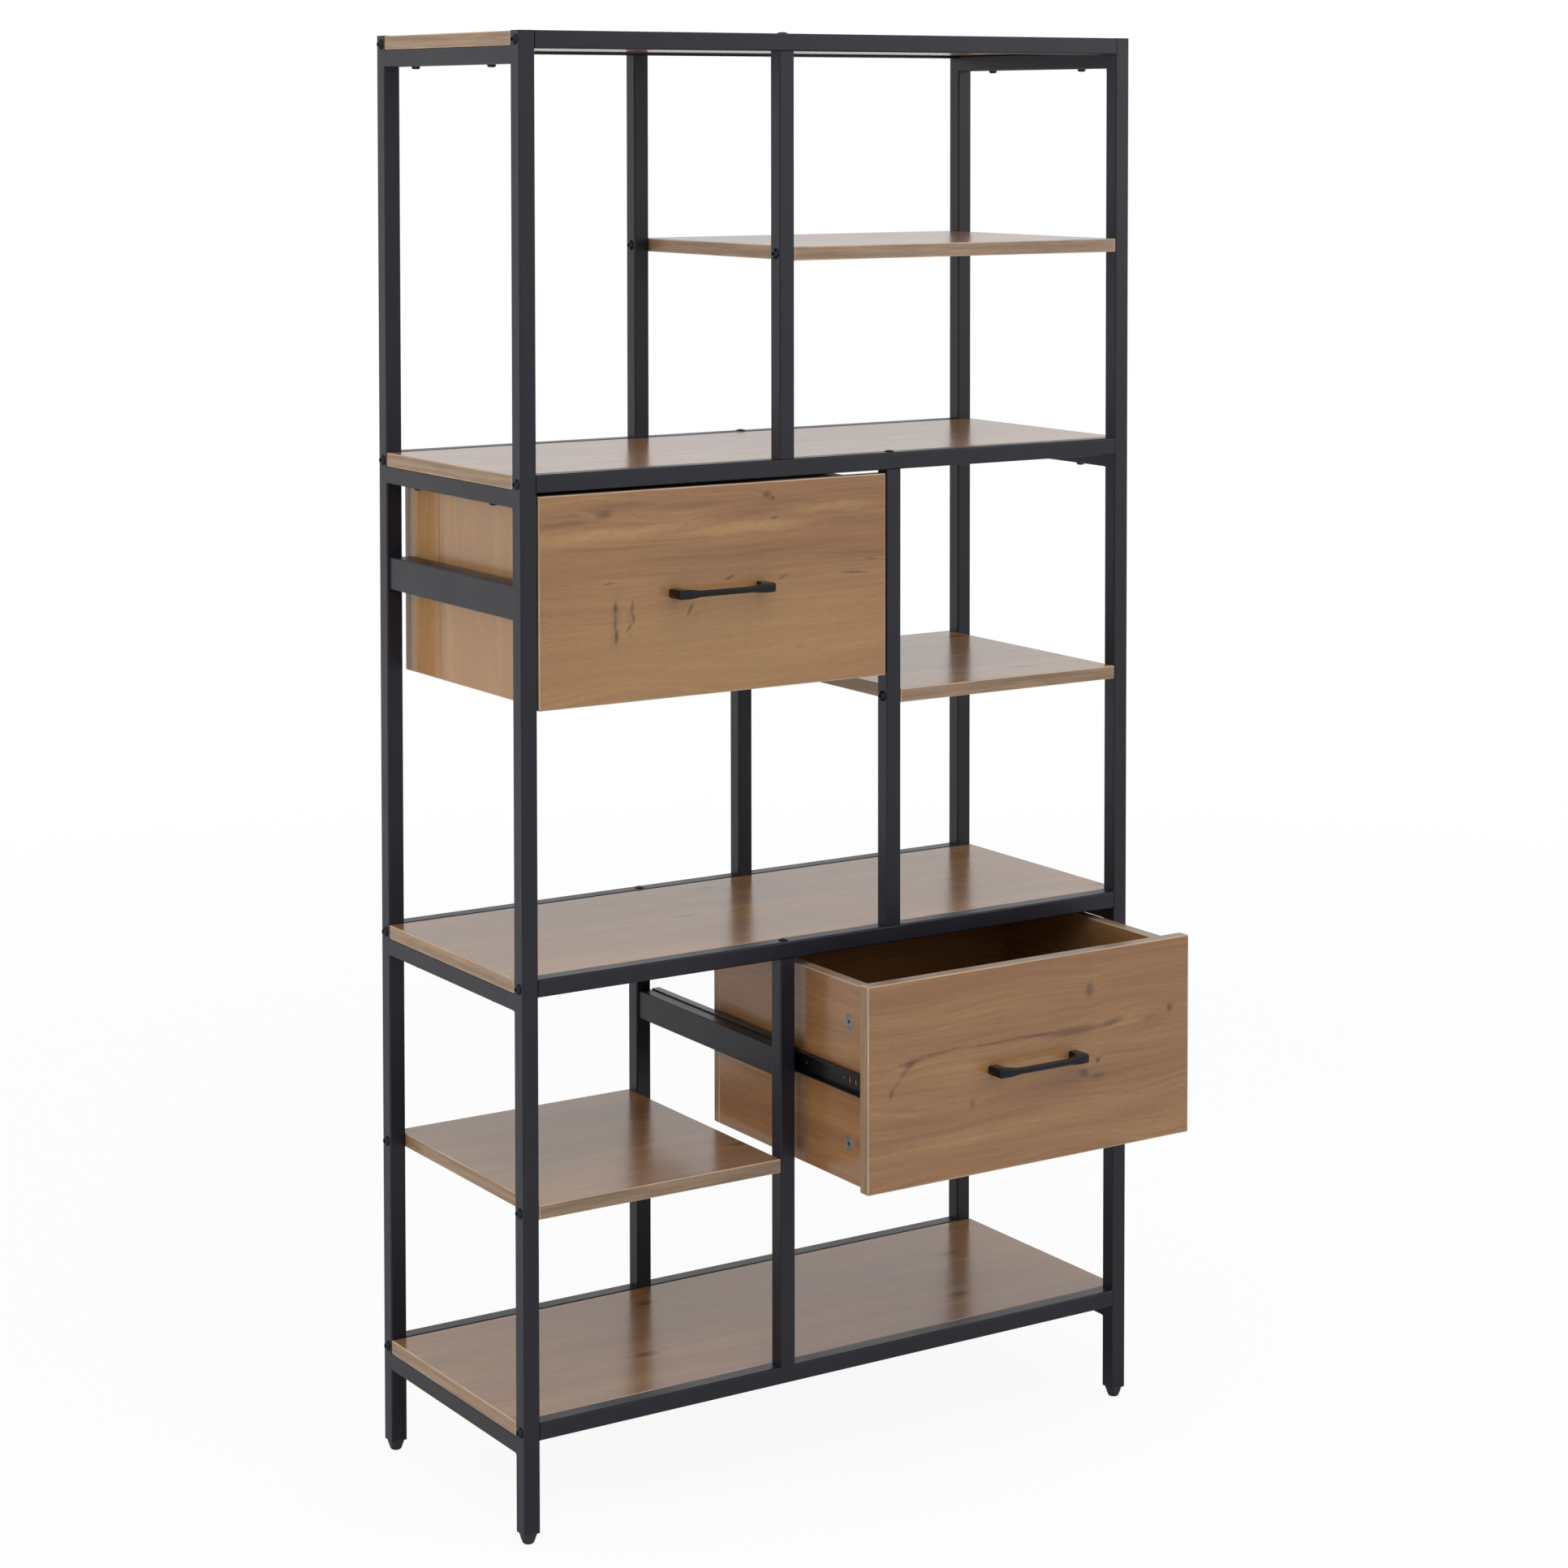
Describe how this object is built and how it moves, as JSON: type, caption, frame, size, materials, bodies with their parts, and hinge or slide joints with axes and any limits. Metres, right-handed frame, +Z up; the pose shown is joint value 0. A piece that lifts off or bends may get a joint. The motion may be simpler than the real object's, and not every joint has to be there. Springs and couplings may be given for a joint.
{
  "type": "bookcase",
  "caption": "Open tube-frame bookcase with full and half board shelves and two drawers on telescopic slides",
  "frame": {"origin": "on the floor, in the middle of the footprint with the lower drawer standing open", "axes": "+Z up; the drawers open towards -Y; +X to the right of someone facing them"},
  "size_m": [0.8466, 0.518, 1.6718],
  "materials": {
    "frame_coating": "black powder coating, fine texture, satin",
    "shelf_board": "oak decor on particleboard, matt",
    "drawer_board": "oak decor on particleboard, matt",
    "drawer_panel": "brown fibreboard, matt",
    "pull_coating": "black, semi-gloss",
    "bolt_coating": "black oxide",
    "slide_coating": "black electrophoretic coating, semi-gloss",
    "cage_steel": "plain steel strip, oiled",
    "zinc": "zinc die-casting, dull",
    "black_plastic": "moulded, matt"
  },
  "bodies": {
    "frame": {"corner_post_left_front": "frame_coating", "corner_post_left_rear": "frame_coating", "corner_post_right_front": "frame_coating", "corner_post_right_rear": "frame_coating", "divider_bolts": "bolt_coating", "divider_bottom_front": "frame_coating", "divider_bottom_rear": "frame_coating", "divider_middle_front": "frame_coating", "divider_middle_rear": "frame_coating", "divider_top_front": "frame_coating", "divider_top_rear": "frame_coating", "front_rail_bottom": "frame_coating", "front_rail_middle": "frame_coating", "front_rail_top": "frame_coating", "front_rail_upper": "frame_coating", "half_shelf_bolts": "bolt_coating", "half_shelf_bottom": "shelf_board", "half_shelf_middle": "shelf_board", "half_shelf_top": "shelf_board", "left_side_rails": "frame_coating", "levelling_feet": "black_plastic", "lower_slide_outers": "slide_coating", "post_caps": "black_plastic", "rail_bolts": "bolt_coating", "rear_rail_bottom": "frame_coating", "rear_rail_middle": "frame_coating", "rear_rail_top": "frame_coating", "rear_rail_upper": "frame_coating", "right_side_rails": "frame_coating", "shelf_bottom": "shelf_board", "shelf_middle": "shelf_board", "shelf_top": "shelf_board", "shelf_upper": "shelf_board", "slide_rail_left": "frame_coating", "slide_rail_lower_divider": "frame_coating", "slide_rail_right": "frame_coating", "slide_rail_upper_divider": "frame_coating", "upper_slide_outers": "slide_coating"},
    "upper_drawer": {"upper_drawer_back": "drawer_board", "upper_drawer_bottom": "drawer_panel", "upper_drawer_fixings": "zinc", "upper_drawer_front": "drawer_board", "upper_drawer_side_left": "drawer_board", "upper_drawer_side_right": "drawer_board", "upper_pull": "pull_coating", "upper_slide_inners": "slide_coating"},
    "upper_slide_cages": {"upper_ball_cages": "cage_steel"},
    "lower_drawer": {"lower_drawer_back": "drawer_board", "lower_drawer_bottom": "drawer_panel", "lower_drawer_fixings": "zinc", "lower_drawer_front": "drawer_board", "lower_drawer_side_left": "drawer_board", "lower_drawer_side_right": "drawer_board", "lower_pull": "pull_coating", "lower_slide_inners": "slide_coating"},
    "lower_slide_cages": {"lower_ball_cages": "cage_steel"}
  },
  "joints": [
    {"name": "upper_drawer_slide", "type": "slide", "parent": "frame", "child": "upper_drawer", "axis": [0, -1, 0], "range_m": [0, 0.225]},
    {"name": "upper_cage_slide", "type": "slide", "parent": "frame", "child": "upper_slide_cages", "axis": [0, -1, 0], "range_m": [0, 0.1125]},
    {"name": "lower_drawer_slide", "type": "slide", "parent": "frame", "child": "lower_drawer", "axis": [0, -1, 0], "range_m": [-0.146, 0.079]},
    {"name": "lower_cage_slide", "type": "slide", "parent": "frame", "child": "lower_slide_cages", "axis": [0, -1, 0], "range_m": [-0.073, 0.0395]}
  ],
  "couplings": [
    {"joint": "upper_cage_slide", "follows": "upper_drawer_slide", "ratio": 0.5},
    {"joint": "lower_cage_slide", "follows": "lower_drawer_slide", "ratio": 0.5}
  ]
}
